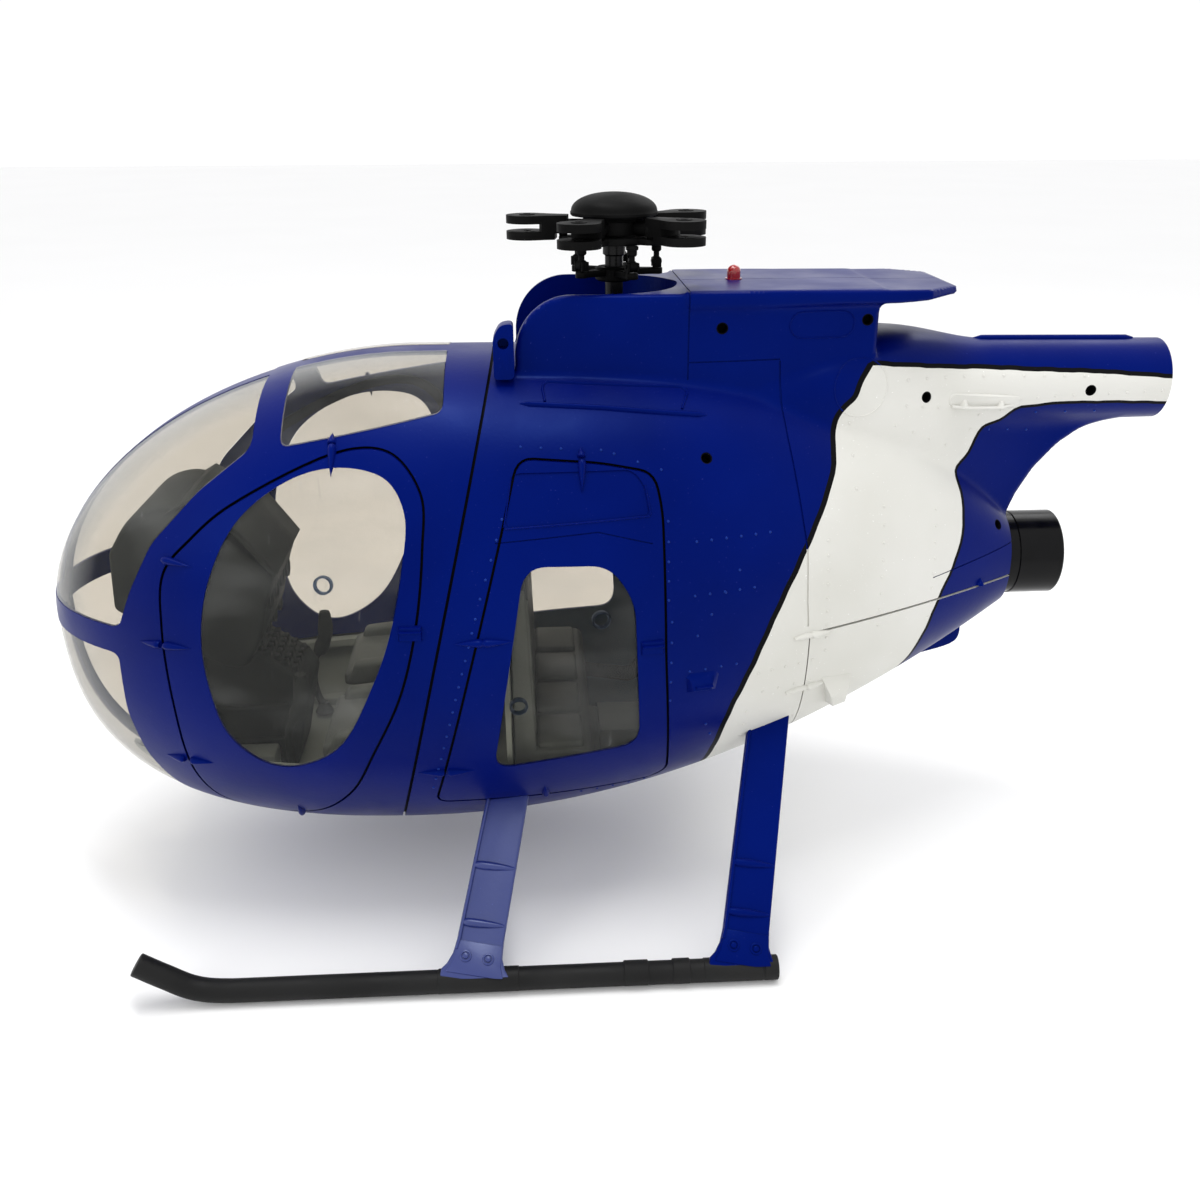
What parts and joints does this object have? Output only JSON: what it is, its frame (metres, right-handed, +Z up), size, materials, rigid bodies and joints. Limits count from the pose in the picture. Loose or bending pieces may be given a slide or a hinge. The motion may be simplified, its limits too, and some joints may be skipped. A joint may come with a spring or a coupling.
{
  "type": "remote control helicopter",
  "caption": "Large toy light helicopter: egg-shaped cabin with opening doors on tubular skids, slotted rotor hub on a driven mast, and a short socket for a tail boom.",
  "frame": {"origin": "centre of the bounding box's footprint, on the ground under the skids", "axes": "+X towards the tail, +Y to the right-hand (starboard) side, +Z up"},
  "size_m": [0.686, 0.3584, 0.4215],
  "materials": {
    "blue_shell": "moulded plastic with satin-gloss deep blue paint and an off-white band",
    "clear_window": "clear, slightly smoky moulded plastic",
    "black_rotor": "satin black moulded plastic",
    "black_skid": "satin black moulded tube",
    "gloss_black": "gloss black moulded plastic",
    "grey_interior": "matte grey-green moulded plastic",
    "dark_interior": "matte charcoal moulded plastic",
    "drive_metal": "bright steel",
    "engine_plastic": "grey moulded plastic",
    "red_lens": "translucent red plastic"
  },
  "bodies": {
    "fuselage": {"front_shell": "blue_shell", "rear_shell": "blue_shell", "mast_fairing": "blue_shell", "tail_fairing": "blue_shell", "belly_lug": "blue_shell", "windshield_left": "clear_window", "skylight_left": "clear_window", "chin_window_left": "clear_window", "strut_front_left": "blue_shell", "strut_rear_left": "blue_shell", "seat_left": "dark_interior", "skid_left": "black_skid", "windshield_right": "clear_window", "skylight_right": "clear_window", "chin_window_right": "clear_window", "strut_front_right": "blue_shell", "strut_rear_right": "blue_shell", "seat_right": "dark_interior", "skid_right": "black_skid", "instrument_console": "dark_interior", "rear_bench": "dark_interior", "gear_housing": "dark_interior", "battery_box": "dark_interior", "cabin_floor": "grey_interior", "cabin_bulkhead": "grey_interior", "receiver_box": "grey_interior", "engine": "engine_plastic", "exhaust_pipe": "gloss_black", "drive_motor": "drive_metal", "mast_boot": "black_rotor", "beacon_lens": "red_lens"},
    "rotor": {"rotor_mast": "black_rotor", "hub_plate": "black_rotor", "hub_dome": "black_rotor", "link_star": "black_rotor", "blade_grip_1": "black_rotor", "blade_grip_2": "black_rotor", "blade_grip_3": "black_rotor", "blade_grip_4": "black_rotor", "blade_grip_5": "black_rotor", "pitch_link_1": "black_rotor", "pitch_link_2": "black_rotor", "pitch_link_3": "black_rotor", "pitch_link_4": "black_rotor", "pitch_link_5": "black_rotor", "main_gear": "dark_interior"},
    "motor_shaft": {"motor_pinion": "drive_metal"},
    "front_door_left": {"front_door_left": "blue_shell", "front_door_window_left": "clear_window"},
    "rear_door_left": {"rear_door_left": "blue_shell", "rear_door_window_left": "clear_window"},
    "engine_door_left": {"engine_door_left": "blue_shell"},
    "cyclic_left": {"cyclic_stick_left": "dark_interior"},
    "front_door_right": {"front_door_right": "blue_shell", "front_door_window_right": "clear_window"},
    "rear_door_right": {"rear_door_right": "blue_shell", "rear_door_window_right": "clear_window"},
    "engine_door_right": {"engine_door_right": "blue_shell"},
    "cyclic_right": {"cyclic_stick_right": "dark_interior"},
    "switch": {"power_switch": "dark_interior"}
  },
  "joints": [
    {"name": "rotor_spin", "type": "hinge", "parent": "fuselage", "child": "rotor", "pos_m": [0.006, 0, 0.35], "axis": [0, 0, 1], "continuous": true},
    {"name": "motor_spin", "type": "hinge", "parent": "fuselage", "child": "motor_shaft", "pos_m": [0.036, 0, 0.3], "axis": [0, 0, 1], "continuous": true},
    {"name": "front_door_left_hinge", "type": "hinge", "parent": "fuselage", "child": "front_door_left", "pos_m": [-0.255, -0.104, 0.19], "axis": [0, 0.1161, -0.9932], "range_deg": [0, 85]},
    {"name": "rear_door_left_hinge", "type": "hinge", "parent": "fuselage", "child": "rear_door_left", "pos_m": [-0.08, -0.127, 0.197], "axis": [-0.2568, 0.1116, -0.96], "range_deg": [0, 85]},
    {"name": "engine_door_left_hinge", "type": "hinge", "parent": "fuselage", "child": "engine_door_left", "pos_m": [0.1155, -0.0935, 0.181], "axis": [0, 0.1799, -0.9837], "range_deg": [0, 70]},
    {"name": "cyclic_left_tilt", "type": "hinge", "parent": "fuselage", "child": "cyclic_left", "pos_m": [-0.196, -0.049, 0.066], "axis": [0, 1, 0], "range_deg": [-12, 12]},
    {"name": "front_door_right_hinge", "type": "hinge", "parent": "fuselage", "child": "front_door_right", "pos_m": [-0.255, 0.104, 0.19], "axis": [0, 0.1161, 0.9932], "range_deg": [0, 85]},
    {"name": "rear_door_right_hinge", "type": "hinge", "parent": "fuselage", "child": "rear_door_right", "pos_m": [-0.08, 0.127, 0.197], "axis": [0.2568, 0.1116, 0.96], "range_deg": [0, 85]},
    {"name": "engine_door_right_hinge", "type": "hinge", "parent": "fuselage", "child": "engine_door_right", "pos_m": [0.1155, 0.0935, 0.181], "axis": [0, 0.1799, 0.9837], "range_deg": [0, 70]},
    {"name": "cyclic_right_tilt", "type": "hinge", "parent": "fuselage", "child": "cyclic_right", "pos_m": [-0.196, 0.049, 0.066], "axis": [0, 1, 0], "range_deg": [-12, 12]},
    {"name": "switch_slide", "type": "slide", "parent": "fuselage", "child": "switch", "axis": [1, 0, 0], "range_m": [0, 0.005]}
  ],
  "couplings": [
    {"joint": "motor_spin", "follows": "rotor_spin", "ratio": -4}
  ]
}
